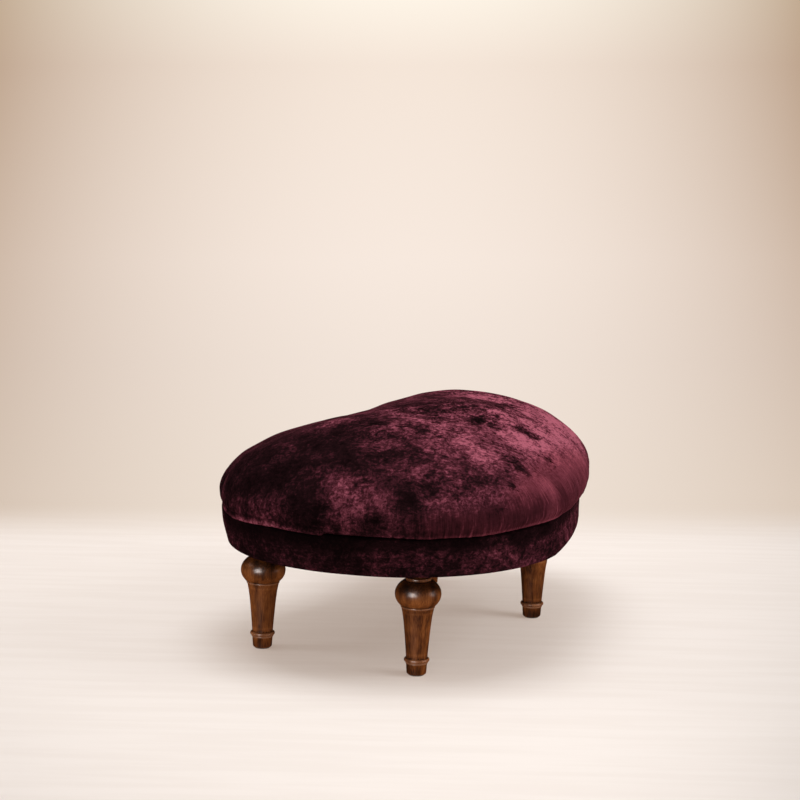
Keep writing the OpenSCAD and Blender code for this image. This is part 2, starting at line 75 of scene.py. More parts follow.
def set_camera():
    """Turned CAMERA_TURN from +Y towards +X, tipped down, and rolled a little about its own line of sight."""
    across, onward = math.cos(CAMERA_TURN), math.sin(CAMERA_TURN)
    level = np.array([across, -onward, 0.0])
    ahead = np.array([onward, across, 0.0]) * math.cos(CAMERA_DOWN) - [0, 0, math.sin(CAMERA_DOWN)]
    upright = np.cross(level, ahead)
    right = level * math.cos(CAMERA_ROLL) + upright * math.sin(CAMERA_ROLL)
    up = upright * math.cos(CAMERA_ROLL) - level * math.sin(CAMERA_ROLL)
    camera = add("camera", bpy.data.cameras.new("camera"), CAMERA_AT, (right, up, -ahead))
    camera.data.sensor_fit = "HORIZONTAL"
    camera.data.sensor_width = SENSOR
    camera.data.lens = FOCAL_PX * SENSOR / PHOTO_PX
    camera.data.clip_end = 200
    scene.camera = camera


# Plan of the frame: four arcs that meet smoothly.
BIG_R = 210 * MM
SMALL_R = 165 * MM
LOBE_GAP = 265 * MM
FRONT_R = 1150 * MM
HOLLOW_R = 300 * MM
BIG_C = np.array([(BIG_R - SMALL_R - LOBE_GAP) / 2, 0.0])
SMALL_C = BIG_C + [LOBE_GAP, 0.0]


def meet(a, b):
    """The point at distance a from the big lobe's middle and b from the small one's, on the back side."""
    x = (LOBE_GAP ** 2 + a ** 2 - b ** 2) / (2 * LOBE_GAP)
    return BIG_C + [x, math.sqrt(a ** 2 - x ** 2)]


def heading(v):
    """The angle of a plan vector, in radians."""
    return math.atan2(v[1], v[0])


def toward(turn):
    """The plan direction that lies turn degrees round from +X."""
    return np.array([math.cos(math.radians(turn)), math.sin(math.radians(turn))])


FRONT_C = meet(FRONT_R - BIG_R, FRONT_R - SMALL_R)
HOLLOW_C = meet(HOLLOW_R + BIG_R, HOLLOW_R + SMALL_R)
FRONT_FROM = heading(BIG_C - FRONT_C)
FRONT_TO = heading(SMALL_C - FRONT_C)
HOLLOW_FROM = heading(SMALL_C - HOLLOW_C)
HOLLOW_TO = heading(BIG_C - HOLLOW_C)
SMALL_TO = heading(HOLLOW_C - SMALL_C)
BIG_FROM = heading(HOLLOW_C - BIG_C)
BIG_TO = FRONT_FROM + 2 * math.pi
SPINE_BOW = (FRONT_C[1] - FRONT_R + HOLLOW_C[1] - HOLLOW_R) / 2


class Rim:
    """Points round the frame's edge, counterclockwise from where the front meets the big lobe.

    edge is each point's plan place, out the direction that faces out of the frame there, run its
    distance along the edge, and along its share of the way from the big lobe's middle to the small one's.
    """

    def __init__(self, long_n, small_n, big_n):
        arcs = [
            (FRONT_C, FRONT_R, FRONT_FROM, FRONT_TO, long_n, 1, 0, 1),
            (SMALL_C, SMALL_R, FRONT_TO, SMALL_TO, small_n, 1, 1, 1),
            (HOLLOW_C, HOLLOW_R, HOLLOW_FROM, HOLLOW_TO, long_n, -1, 1, 0),
            (BIG_C, BIG_R, BIG_FROM, BIG_TO, big_n, 1, 0, 0)]
        parts = []
        self.length = 0.0
        for middle, radius, start, end, n, side, from_t, to_t in arcs:
            share = np.arange(n) / n
            angle = start + (end - start) * share
            way = np.stack([np.cos(angle), np.sin(angle)], axis=1)
            run = self.length + abs(end - start) * radius * share
            parts.append((middle + radius * way, side * way, run, from_t + (to_t - from_t) * share))
            self.length += abs(end - start) * radius
        self.edge, self.out, self.run, self.along = (np.concatenate(part) for part in zip(*parts))
        self.spine = np.stack([
            BIG_C[0] + LOBE_GAP * self.along, SPINE_BOW * np.sin(math.pi * self.along) ** 2], axis=1)

    def ring(self, d, z, s=0):
        """The edge grown by d and drawn a share s of the way to the spine, at height z; d and z may vary."""
        flat = (self.edge + self.out * np.reshape(d, (-1, 1))) * (1 - s) + self.spine * s
        return np.column_stack([flat, np.broadcast_to(z, len(flat))])

    def facing(self, turn):
        """The run where the rim faces turn degrees round from +X, on the front or on either lobe."""
        a = math.radians(turn)
        if a < BIG_TO:
            return self.length - (BIG_TO - a) * BIG_R
        if a < FRONT_TO + 2 * math.pi:
            return (a - BIG_TO) * FRONT_R
        return (FRONT_TO - FRONT_FROM) * FRONT_R + (a - FRONT_TO - 2 * math.pi) * SMALL_R

    def off(self, at):
        """How far round the rim each point lies from a run, the shorter way."""
        return (self.run - at + self.length / 2) % self.length - self.length / 2

    def swing(self, table):
        """Metres that change round the rim, straight between the facings that a table in mm lists."""
        runs, widths = zip(*sorted((self.facing(turn), mm * MM) for turn, mm in table))
        return np.interp(self.run, runs, widths, period=self.length)


def run_at(middle, turn):
    """The run where the direction turn, in degrees round a lobe's middle, meets the rim."""
    probe = Rim(long_n=40, small_n=400, big_n=400)
    return float(probe.run[np.argmax(unit(probe.edge - middle) @ toward(turn))])


# Heights and sizes that the cushion and the band share with the frame.
BASE_Z = 140 * MM
VELVET_T = 1.4 * MM
DUST_T = 0.6 * MM
FRAME_TOP = BASE_Z + (15 + 19 + 12) * MM
CREASE_Z = FRAME_TOP + VELVET_T
BULGE_Z = CREASE_Z + 16 * MM
ROLL_R = 3.6 * MM
CREASE_LIP = 24 * MM
UNDER_LIP = 20 * MM
SHOULDER_H = 34 * MM
SHOULDER_W = 75 * MM
SHOULDER_K = 2.4
CROWN_H = 62 * MM
CROWN_SWELL = 0.1
CROWN_SPACING = 1.6

# What changes round the stool, listed by the way the rim faces, in degrees, and in millimetres: how far the
# cushion and the band stand out of the frame, and how far the cushion's lower edge lies above the crease.
BULGE_OUT = ((100, 15.2), (170, 16), (240, 16), (285, 17), (330, 16.5), (400, 15.5))
ROLL_OUT = ((100, 10.3), (140, 10.8), (165, 12.2), (230, 12.4), (277, 13.6), (330, 13), (400, 11.5))
EDGE_LIFT = (
    (100, -4.2), (135, -4.8), (147, -2.6), (158, -0.3), (177.2, -1.1), (178.9, 3.4), (186, 2.7), (202, 1.3),
    (211, -0.2), (228, 0), (238, 1.8), (250, 3.5), (266, 3.2), (277, 0), (330, 0), (400, 0))
BAND_OUT = ((100, 10.4), (160, 10.4), (205, 9.4), (250, 6.5), (275, 4.2), (310, 4), (400, 8))
BAND_FOOT_OUT = (
    (100, 3.4), (135, 3.6), (185, 1.6), (205, 5), (256, 5.5), (270, 8.5), (283, 4.5), (330, 3.5), (400, 2))


def ripple(points, size, seed, waves=24):
    """Smooth unevenness about size metres long: a sum of plane waves in random directions, mostly -1 to 1."""
    draw = np.random.default_rng(seed)
    ways = draw.normal(size=(3, waves))
    ways *= draw.uniform(0.7, 1.4, waves) * 2 * math.pi / size / np.linalg.norm(ways, axis=0)
    return np.sin(points @ ways + draw.uniform(0, 2 * math.pi, waves)).sum(-1) / math.sqrt(waves)


def smooth(x, low, high):
    """0 below low, 1 above high, with a smooth rise between; high may be the smaller."""
    t = np.clip((np.asarray(x, float) - low) / (high - low), 0, 1)
    return t * t * (3 - 2 * t)


def hump(x, middle, width):
    """A bell curve: 1 at the middle, and about a third at a width from it."""
    return np.exp(-((x - middle) / width) ** 2)


def rounded(rim, out, z, radius, angles):
    """Rings round an edge, at angles on an arc whose fullest point is out at height z."""
    return [rim.ring(out - radius + radius * math.cos(a), z + radius * math.sin(a)) for a in angles]


def swelling(rim, start, end, low, high, n):
    """Rings of a side that follows a sine from start out to end, in n even steps from low to high."""
    rings = []
    for k in np.arange(1, n + 1) / n:
        rings.append(rim.ring(start + (end - start) * math.sin(math.pi / 2 * k), low + (high - low) * k))
    return rings


def nap_map(rim, up):
    """Map places for the brushed pile, in metres: how far round the rim, and how far up the surface."""
    run = np.append(rim.run, rim.length)
    return np.stack(np.broadcast_arrays(run[None, :], np.concatenate([up, up[:, :1]], axis=1)), axis=-1)


def grid_normals(points, closed_rows):
    """Outward unit normals of a grid of points: the cross product of its two directions."""
    across = np.roll(points, -1, axis=1) - np.roll(points, 1, axis=1)
    if closed_rows:
        upward = np.roll(points, -1, axis=0) - np.roll(points, 1, axis=0)
    else:
        upward = np.gradient(points, axis=0)
    return unit(np.cross(across, upward))


def weave(name, points, closed_rows=False, uv=None, values=None, merge=True, sharp=None):
    """A mesh from a grid of points, rows by columns by 3, whose columns close on themselves.

    uv has one more column than points, and values is a dict of a value for each point. Points that
    fall together, as at a pole, are merged.
    """
    rows, cols = points.shape[:2]
    last = rows if closed_rows else rows - 1
    i, j = np.meshgrid(np.arange(last), np.arange(cols), indexing="ij")
    above, right = (i + 1) % rows, (j + 1) % cols
    faces = np.stack([i, i, above, above], axis=-1) * cols + np.stack([j, right, right, j], axis=-1)
    mesh = bpy.data.meshes.new(name)
    mesh.from_pydata(points.reshape(-1, 3).tolist(), [], faces.reshape(-1, 4).tolist())
    if uv is not None:
        if closed_rows:
            uv = np.concatenate([uv, uv[:1] + [0, 1]], axis=0)
        corners = np.stack([uv[i, j], uv[i, j + 1], uv[i + 1, j + 1], uv[i + 1, j]], axis=2)
        layer = mesh.uv_layers.new(name="nap")
        layer.data.foreach_set("uv", corners.reshape(-1).astype(np.float32))
    for key, value in (values or {}).items():
        layer = mesh.attributes.new(key, "FLOAT", "POINT")
        layer.data.foreach_set("value", np.broadcast_to(value, (rows, cols)).reshape(-1).astype(np.float32))
    if merge:
        loose = bmesh.new()
        loose.from_mesh(mesh)
        bmesh.ops.remove_doubles(loose, verts=loose.verts, dist=1e-6)
        loose.to_mesh(mesh)
        loose.free()
    mesh.polygons.foreach_set("use_smooth", np.ones(len(mesh.polygons), bool))
    if sharp:
        mesh.set_sharp_from_angle(angle=math.radians(sharp))
    mesh.update()
    return add(name, mesh)


# Materials

class Value:
    """A socket's value in a material. Arithmetic on it adds Math nodes."""

    def __init__(self, finish, socket):
        self.finish = finish
        self.socket = socket

    def math(self, operation, *others):
        """A Math node on this value and the others."""
        return self.finish.node("ShaderNodeMath", {"operation": operation}, dict(enumerate((self, *others))))

    def __add__(self, other):
        return self.math("ADD", other)

    def __mul__(self, other):
        return self.math("MULTIPLY", other)

    def __sub__(self, other):
        return self.math("SUBTRACT", other)

    def __rsub__(self, other):
        return self.finish.node("ShaderNodeMath", {"operation": "SUBTRACT"}, {0: other, 1: self})

    __radd__ = __add__
    __rmul__ = __mul__

    def rise(self, low, high, kind="SMOOTHSTEP"):
        """0 below low, 1 above high, smooth between."""
        sockets = {"Value": self, "From Min": low, "From Max": high}
        return self.finish.node("ShaderNodeMapRange", {"interpolation_type": kind}, sockets)

    def fit(self, low, high):
        """Straight from 0 at low to 1 at high, held there beyond."""
        return self.rise(low, high, "LINEAR")


class Finish:
    """One material. node() adds a node, and the rest are short names for the nodes used most."""

    def __init__(self, name):
        self.material = bpy.data.materials.new(name)
        self.material.use_nodes = True
        self.tree = self.material.node_tree
        self.tree.nodes.clear()

    def node(self, kind, settings=None, sockets=None, out=0):
        """Adds a node, sets its settings, then its sockets' values or links, and gives one of its outputs."""
        made = self.tree.nodes.new(kind)
        for key, value in (settings or {}).items():
            if key == "stops":
                ramp = made.color_ramp
                while len(ramp.elements) < len(value):
                    ramp.elements.new(1.0)
                for stop, (at, colour) in zip(ramp.elements, value):
                    stop.position = at
                    stop.color = (*colour, 1)
            else:
                setattr(made, key, value)
        for key, value in (sockets or {}).items():
            if isinstance(value, Value):
                self.tree.links.new(value.socket, made.inputs[key])
            else:
                made.inputs[key].default_value = value
        return Value(self, made.outputs[out]) if made.outputs else None

    def place(self):
        """Object coordinates, in metres."""
        return self.node("ShaderNodeTexCoord", out="Object")

    def shift(self, vector, location=(0, 0, 0), scale=(1, 1, 1), turn=(0, 0, 0)):
        """The vector moved, turned and stretched."""
        return self.node("ShaderNodeMapping", {}, {0: vector, 1: location, 2: turn, 3: scale})

    def vector(self, operation, *inputs):
        """Vector Math on vectors, colours or numbers."""
        return self.node("ShaderNodeVectorMath", {"operation": operation}, dict(enumerate(inputs)))

    def noise(self, vector, scale, detail=2.0, rough=0.5, warp=0.0, out=0):
        """Cloudy noise about 0.5. scale is in waves per metre, one number or one for each axis."""
        if isinstance(scale, tuple):
            vector = self.shift(vector, scale=scale)
            scale = 1.0
        sockets = {"Vector": vector, "Scale": scale, "Detail": detail, "Roughness": rough, "Distortion": warp}
        return self.node("ShaderNodeTexNoise", {}, sockets, out)

    def parts(self, vector):
        """The vector's three numbers."""
        split = self.node("ShaderNodeSeparateXYZ", {}, {0: vector}).socket.node
        return [Value(self, number) for number in split.outputs]

    def own(self, name):
        """A value that the mesh carries at each point."""
        return self.node("ShaderNodeAttribute", {"attribute_name": name}, out="Fac")

    def colour(self, value, *stops):
        """A colour ramp through stops, each a place from 0 to 1 and a colour."""
        return self.node("ShaderNodeValToRGB", {"stops": stops}, {0: value})

    def blend(self, factor, a, b, kind="MIX"):
        """Colour a where factor is 0 and b where it is 1; plain colours have four numbers."""
        return self.node(
            "ShaderNodeMix", {"data_type": "RGBA", "blend_type": kind, "clamp_factor": True},
            {0: factor, 6: a, 7: b}, out=2)

    def bump(self, height, strength, depth):
        """A normal that follows a height, for a relief that is depth metres deep."""
        return self.node("ShaderNodeBump", {}, {"Height": height, "Strength": strength, "Distance": depth})

    def finish(self, **sockets):
        """Ends with a Principled BSDF whose sockets are given by name, with _ for a space."""
        named = {key.replace("_", " "): value for key, value in sockets.items()}
        surface = self.node("ShaderNodeBsdfPrincipled", {}, named)
        self.node("ShaderNodeOutputMaterial", {}, {"Surface": surface})
        return self.material


# How far the strokes on top of the cushion are turned from +Y, in radians.
STROKE_TURN = 0.22


def velvet():
    """Crushed pile, mottled and stroked: dark where it leans away and rose where it catches the light, by a
    value on each mesh that also holds painted light and shade.
    """
    f = Finish("plum_velvet")
    at = f.place()
    nap = f.node("ShaderNodeUVMap", {"uv_map": "nap"})
    lay, side, mottle, mark = f.own("lay"), f.own("side"), f.own("mottle"), f.own("mark")
    warp = f.noise(at, 60, 3, 0.6, out="Color")
    loose = f.vector("MULTIPLY_ADD", warp, (0.010, 0.010, 0.010), at)
    broad = f.noise(loose, 9.0, 2, 0.5) - 0.5
    blotch = f.noise(loose, (27.2, 34, 34), 3, 0.62, 0.3) - 0.5
    crush = f.noise(loose, (73.5, 105, 105), 4, 0.7, 0.6) - 0.5
    fleck = f.noise(loose, (187, 272, 340), 2, 0.7) - 0.5
    turned = f.shift(loose, turn=(0, 0, -STROKE_TURN))
    ragged = f.noise(turned, (105, 50, 130), 5, 0.75, 0.5) - 0.5
    top_stroke = f.noise(turned, (190, 42, 420), 3, 0.65) - 0.5
    side_stroke = f.noise(nap, (560, 42, 1), 2, 0.6) - 0.5
    stroke = top_stroke * (1 - side) * 1.25 + side_stroke * side * (1.0 - mottle * 0.6)
    mix = broad * 0.5 + blotch * 1.2 + crush * 1.35 + fleck * 1.25
    torn = ragged * 2.4 + fleck * 0.7 + top_stroke * 0.4
    dark_mark = (mark + torn - (1 - mottle) * 0.2).rise(0.26, 0.50)
    light_mark = (0 - torn - mark - (1 - mottle) * 0.2).rise(0.26, 0.60)
    tone = lay + mix * mottle * (0.30 + lay * 0.95) + stroke * (0.2 + lay * 0.8)
    tone = tone - dark_mark * (0.04 + lay * 0.52) + light_mark * (0.10 + lay * 0.20)
    colour = f.colour(
        tone, (0.0, (0.0042, 0.0018, 0.0021)), (0.26, (0.0120, 0.0041, 0.0052)),
        (0.48, (0.046, 0.0105, 0.0160)), (0.72, (0.138, 0.032, 0.049)), (1.0, (0.305, 0.082, 0.118)))
    # Painted warm bounce light from the floor: the colour turns redder where the velvet is calm, on the front
    # and low down.
    colour = f.blend((1 - mottle).rise(0.1, 0.8) * 0.5, colour, (1.0, 0.80, 0.74, 1), "MULTIPLY")
    height = blotch * 0.5 + crush * 0.4 + fleck * 0.2 + stroke * 0.15
    return f.finish(
        Base_Color=colour, Roughness=0.9, Specular_IOR_Level=0.0, Sheen_Weight=0.16, Sheen_Roughness=0.14,
        Sheen_Tint=(0.9, 0.22, 0.32, 1), Normal=f.bump(height, 0.45, 0.004))


# Heights between which painted shade on a leg changes, in metres: under the band over the bulb, lifted on the
# neck ring, in the collar's groove and at the foot; and how far apart in the wood the legs were cut.
BULB_DARKENS = (0.103, 0.116)
NECK_LIGHTENS = (0.1175, 0.1205)
COLLAR_DARKENS = (0.076, 0.086)
COLLAR_LIGHTENS = (0.089, 0.096)
FOOT_LIGHTENS = (0.004, 0.017)
GRAIN_STEP = 0.37


def walnut(name, middle, seed, tone_shift):
    """Turned dark-stained hardwood: upright grain with open pores, satin lacquer, lighter on worn edges that
    also carry a painted highlight, darker in grooves by painted shade.

    Painted shade makes it darker under the band, round the collar and at the foot, less on the neck ring. The
    last argument makes one leg lighter or darker.
    """
    f = Finish(name)
    place = f.place()
    at = f.shift(place, location=(-middle[0], -middle[1], seed * GRAIN_STEP))
    wander = f.noise(at, (22, 22, 5.5), 2, 0.5, out="Color")
    drift = f.vector("MULTIPLY_ADD", wander, (0.012, 0.012, 0), at)
    figure = f.noise(drift, (110, 110, 5), 3, 0.55)
    fibre = f.noise(drift, (900, 900, 22), 3, 0.6)
    pore = f.noise(drift, (1500, 1500, 60), 2, 0.5).rise(0.62, 0.72)
    wear = f.own("wear")
    cloud = f.noise(at, 35, 3, 0.55)
    high = f.parts(place)[2]
    neck = high.rise(*NECK_LIGHTENS)
    collar = high.rise(*COLLAR_DARKENS) * (1 - high.rise(*COLLAR_LIGHTENS))
    foot = 1 - high.rise(*FOOT_LIGHTENS)
    # Painted shade: under the band over the bulb, round the collar and at the foot, lifted on the neck ring.
    shade = high.rise(*BULB_DARKENS) - neck * 0.8 + collar * 0.3 + foot * 0.75
    grain = (figure - 0.5) * 1.05 + (fibre - 0.5) * 0.95 + (cloud - 0.5) * 0.75
    # Lighter on worn edges with a painted highlight, darker in grooves and under the painted shade.
    tone = grain + wear * (1 - shade) * 0.34 - shade * 0.26 + (0.56 + tone_shift)
    colour = f.colour(
        tone, (0.12, (0.016, 0.0050, 0.0015)), (0.40, (0.076, 0.0212, 0.0046)),
        (0.60, (0.166, 0.0482, 0.0102)), (0.90, (0.294, 0.0950, 0.0225)))
    # Pale on worn edges, partly a painted highlight, except where shade is painted.
    bare_and_lit = (wear + grain * 0.5).rise(0.30, 0.85) * (1 - shade) * 0.40
    rubbed_and_lit = f.blend(bare_and_lit, colour, (0.42, 0.24, 0.16, 1))
    porous = f.blend(pore * 0.6, rubbed_and_lit, (0.010, 0.0035, 0.0014, 1))
    height = figure * 0.4 + fibre * 0.4 - pore * 0.6
    return f.finish(
        Base_Color=porous, Roughness=0.25 + fibre * 0.10, Specular_IOR_Level=0.13,
        Normal=f.bump(height, 0.22, 0.0006))


PLY_LAYER = 3 * MM


def plywood():
    """Sanded birch ply: pale face with long grain, and dark and light layers where an edge cuts them."""
    f = Finish("plywood")
    at = f.place()
    z = f.parts(at)[2]
    figure = f.noise(at, (3, 40, 40), 4, 0.6, 0.6)
    fibre = f.noise(at, (60, 900, 900), 2, 0.6)
    layer = (z * (2 * math.pi / PLY_LAYER)).math("SINE").rise(-0.2, 0.4)
    tone = figure * 0.7 + fibre * 0.2 + layer * 0.12
    colour = f.colour(tone, (0.2, (0.36, 0.23, 0.12)), (0.55, (0.55, 0.39, 0.21)), (0.9, (0.70, 0.54, 0.33)))
    return f.finish(Base_Color=colour, Roughness=0.6 + fibre * 0.2, Normal=f.bump(fibre, 0.2, 0.0004))


def pine():
    """Sawn pine: yellow with darker growth lines and saw marks."""
    f = Finish("pine_block")
    at = f.place()
    x, y = f.parts(at)[:2]
    bent = x * 0.7 + y * 0.7 + f.noise(at, 14, 2, 0.5) * 0.05
    lines = (bent * 900).math("SINE").rise(-0.4, 0.9)
    saw = f.noise(at, (40, 40, 1400), 2, 0.5)
    tone = lines * 0.7 + saw * 0.3
    colour = f.colour(tone, (0.0, (0.40, 0.22, 0.09)), (0.5, (0.60, 0.40, 0.19)), (1.0, (0.72, 0.54, 0.30)))
    return f.finish(Base_Color=colour, Roughness=0.75, Normal=f.bump(saw, 0.35, 0.0005))


def hardboard():
    """Bare hardboard: brown pressed fibres."""
    f = Finish("bent_skin")
    at = f.place()
    fluff = f.noise(at, 420, 4, 0.7)
    cloud = f.noise(at, 30, 2, 0.5)
    colour = f.colour(fluff * 0.6 + cloud * 0.4, (0.25, (0.10, 0.052, 0.024)), (0.75, (0.26, 0.15, 0.078)))
    return f.finish(Base_Color=colour, Roughness=0.7, Normal=f.bump(fluff, 0.3, 0.0003))


def metal(name, colour, rough):
    """Plated steel with a faint cloud in its shine and small scratches."""
    f = Finish(name)
    at = f.place()
    cloud = f.noise(at, 160, 3, 0.6)
    scratch = f.noise(at, (2200, 300, 900), 2, 0.6)
    tint = f.blend(cloud * 0.5, (*colour, 1), tuple(c * 0.72 for c in colour) + (1,))
    return f.finish(
        Base_Color=tint, Metallic=1.0, Roughness=rough + cloud * 0.12 + scratch * 0.06,
        Normal=f.bump(scratch, 0.08, 0.0001))


def cambric():
    """Black spun-bonded cloth: matted fibres pressed in a fine grid of dots."""
    f = Finish("black_cambric")
    at = f.place()
    x, y = f.parts(at)[:2]
    dots = (x * 2900).math("SINE") * (y * 2900).math("SINE")
    fibre = f.noise(at, (800, 800, 240), 4, 0.8, 1.5)
    height = fibre * 0.7 + dots * 0.3
    colour = f.colour(fibre, (0.3, (0.006, 0.006, 0.007)), (0.7, (0.03, 0.03, 0.033)))
    return f.finish(Base_Color=colour, Roughness=0.9, Normal=f.bump(height, 0.5, 0.0004))


def felt():
    """Dense brown needled felt."""
    f = Finish("brown_felt")
    at = f.place()
    fluff = f.noise(at, 1100, 4, 0.8, 1.0)
    colour = f.colour(fluff, (0.25, (0.035, 0.02, 0.012)), (0.75, (0.14, 0.09, 0.055)))
    return f.finish(Base_Color=colour, Roughness=0.95, Sheen_Weight=0.2, Normal=f.bump(fluff, 0.8, 0.0005))


# The cushion

def crown_rows(rim, rows, bulge):
    """The crown, from the bulge to the spine.

    A ring a share s of the way from the bulge to the spine has risen along a superellipse over the
    shoulder, and along 1 - (1 - s)^2 over the crown, a tenth more halfway between the lobes. The rings
    lie closer together near the bulge.
    """
    reach = np.linalg.norm(rim.edge + rim.out * bulge[:, None] - rim.spine, axis=1)
    swell = 1 + CROWN_SWELL * np.sin(math.pi * rim.along) ** 2
    made = []
    for s in (np.arange(1, rows + 1) / rows) ** CROWN_SPACING:
        q = np.minimum(1, s * reach / SHOULDER_W)
        up = (1 - (1 - q) ** SHOULDER_K) ** (1 / SHOULDER_K)
        made.append(rim.ring(bulge, BULGE_Z + SHOULDER_H * up + CROWN_H * swell * (1 - (1 - s) ** 2), s))
    return made


def cushion_rows(rim, crown_n, side_n, roll_n, under_n):
    """Rings of the cushion: from the spine underneath out to the lip, round the roll, up the drawn-in side
    and over the crown. With them comes the number of the row where the roll begins."""
    bulge, roll_out, lift = rim.swing(BULGE_OUT), rim.swing(ROLL_OUT), rim.swing(EDGE_LIFT)
    under = [rim.ring(-CREASE_LIP, CREASE_Z, s) for s in np.linspace(1, 0, under_n)]
    lip = []
    for s in np.linspace(0, 1, 2 * under_n)[1:-1]:
        out = -CREASE_LIP + (roll_out - ROLL_R + CREASE_LIP) * s
        lip.append(rim.ring(out, CREASE_Z + lift * smooth(s, 0.8, 1)))
    low = CREASE_Z + lift + ROLL_R
    roll = rounded(rim, roll_out, low, ROLL_R, np.linspace(-math.pi / 2, 0, roll_n))
    side = swelling(rim, roll_out, bulge, low, BULGE_Z, side_n)
    rows = under + lip + roll + side + crown_rows(rim, crown_n, bulge)
    return np.array(rows), len(under) + len(lip)


# Where the crown is a little fuller or flatter than its formula: middle, size across and way outward, in mm.
FULLNESS = [(190, -100, 278, 100, 2.7), (-100, 105, 288, 110, 1.3), (-205, 203, 230, 75, -1.6)]


def climb(points, from_row):
    """How far up the surface each point lies from one row of the grid, along its own column."""
    steps = np.linalg.norm(np.diff(points, axis=0), axis=2)
    total = np.concatenate([np.zeros((1, points.shape[1])), np.cumsum(steps, axis=0)])
    return total - total[from_row]


# Where the lower edge is a roll: from the big lobe's back to a sharp tuck at its end.
ROLL_FROM = run_at(BIG_C, 96)
ROLL_TILL = run_at(BIG_C, 177)


def gathers(rim, up):
    """How far each point of the cushion's side stands out or in from its gathers, in metres.

    Each gather is a narrow valley with a low ridge on both sides, deepest at the crease and gone at
    its own height. They are deep round the lobes, and shallow towards the front and on the long sides.
    """
    draw = np.random.default_rng(12)
    front = smooth(rim.run, rim.facing(185), rim.facing(215))
    lobes = np.where((rim.along > 0.02) & (rim.along < 0.98), 0.45, 1.0 - 0.55 * front)
    total = np.zeros_like(up)
    at = 0.0
    while at < rim.length - 6 * MM:
        lean = draw.uniform(-0.22, 0.22)
        reach = draw.uniform(22, 66) * MM
        width = draw.uniform(1.7, 3.2) * MM
        depth = draw.uniform(0.35, 1.5) * MM
        off = rim.off(at + lean * np.maximum(up, 0))
        fade = np.clip(1 - up / reach, 0, 1) ** 1.3 * smooth(up, -6 * MM, 0)
        ridge = hump(np.abs(off), 2.3 * width, 1.3 * width)
        total += depth * fade * (0.42 * ridge - hump(off, 0, width))
        at += draw.uniform(9, 20) * MM
    return total * lobes


# Thin folds drawn up from the lower edge in front, drawn only as painted highlight and shade: foot in plan in
# mm, lean, and how far up they reach in mm.
PAINTED_CREASES = [
    (-298, -116, -0.23, 36), (-285, -130, 0.08, 20), (-276, -145, 0.10, 28), (-269, -155, 0.20, 30),
    (-256, -166, 0.30, 14), (-241, -181, 0.20, 24), (-232, -186, 0.50, 16), (-205, -203, 0.25, 26),
    (-176, -215, 0.30, 34), (-140, -222, 0.20, 30),
]


def painted_creases(rim, up):
    """Painted highlight on the thin folds and painted shade on both sides of them, as amounts of lighter and
    darker pile.
    """
    total = np.zeros_like(up)
    for x, y, lean, reach in PAINTED_CREASES:
        foot = np.array((x, y)) * MM
        at = rim.run[np.argmin(np.linalg.norm(rim.edge + rim.out * 13 * MM - foot, axis=1))]
        off = rim.off(at + lean * np.maximum(up, 0))
        fade = np.clip(1 - up / (reach * MM), 0, 1) ** 0.7 * smooth(up, -2 * MM, 2 * MM)
        total += fade * (hump(off, 0, 1.2 * MM) - 0.6 * hump(np.abs(off), 3.4 * MM, 1.9 * MM))
    return total


def roll_share(rim):
    """1 where the cushion's lower edge is a roll, and 0 elsewhere."""
    begun = smooth(rim.run, ROLL_FROM - 60 * MM, ROLL_FROM)
    return begun * smooth(rim.run, ROLL_TILL + 3 * MM, ROLL_TILL - 2 * MM)


def edge_roll(rim, up):
    """How far the roll along the crease stands out, with a groove over it, in metres."""
    bead = hump(up, 4 * MM, 3 * MM)
    groove = hump(up, 9.5 * MM, 2 * MM)
    return roll_share(rim) * (1.3 * MM * bead - 1.9 * MM * groove)


def painted_edge_light(rim, up):
    """Painted light along the lower edge and on the roll, and painted shade in the groove above the roll, as
    amounts by which the pile is drawn lighter or darker.
    """
    inside = roll_share(rim)
    line = hump(up, 3 * MM, 2.6 * MM)
    bead = hump(up, 4.4 * MM, 3.4 * MM)
    groove = hump(up, 10.5 * MM, 2.6 * MM)
    bright = smooth(rim.run, rim.facing(175), rim.facing(140))
    front = smooth(rim.run, rim.facing(190), rim.facing(215))
    patchy = 1 + 0.4 * ripple(rim.ring(0, 0), 0.03, 61)
    roll = (0.13 + 0.15 * bright) * patchy * bead - 0.10 * groove
    return (0.08 + 0.11 * front) * line + inside * roll


# Patches where the pile lies lighter or darker, and where light and shade are painted: middle and size across
# in mm, and how much lighter or darker each is.
PILE_AND_LIGHT_SPOTS = [
    (-314, -8, 238, 55, 0.24), (-322, -36, 226, 35, 0.12), (-320, 82, 203, 45, 0.25),
    (-120, -10, 299, 70, 0.17), (-294, -82, 245, 34, -0.10), (-288, -123, 227, 35, -0.12),
    (-305, -93, 228, 32, -0.18), (-302, 51, 245, 110, -0.05), (-273, -112, 246, 30, -0.10),
    (-226, -152, 250, 65, -0.26), (-204, -171, 248, 45, -0.10), (-20, -200, 246, 90, -0.08),
    (-150, -105, 282, 90, 0.13), (-196, -136, 267, 30, 0.03), (-110, 50, 296, 80, 0.07),
    (-28, -131, 281, 45, 0.06), (-40, -170, 264, 50, 0.14), (60, 0, 304, 150, -0.33),
    (-195, -14, 289, 60, 0.13), (-146, 75, 291, 30, 0.24), (11, -186, 251, 60, -0.09),
    (-245, 49, 274, 60, -0.05), (30, -212, 225, 90, 0.07), (-10, -216, 207, 80, 0.05),
    (100, -200, 222, 60, 0.18), (-300, -112, 210, 50, 0.08), (118, -65, 293, 70, 0.24),
    (-292, 132, 201, 50, 0.12), (-140, -224, 204, 55, 0.10), (-67, -223, 207, 55, 0.03),
    (-62, 16, 299, 50, 0.11),
]

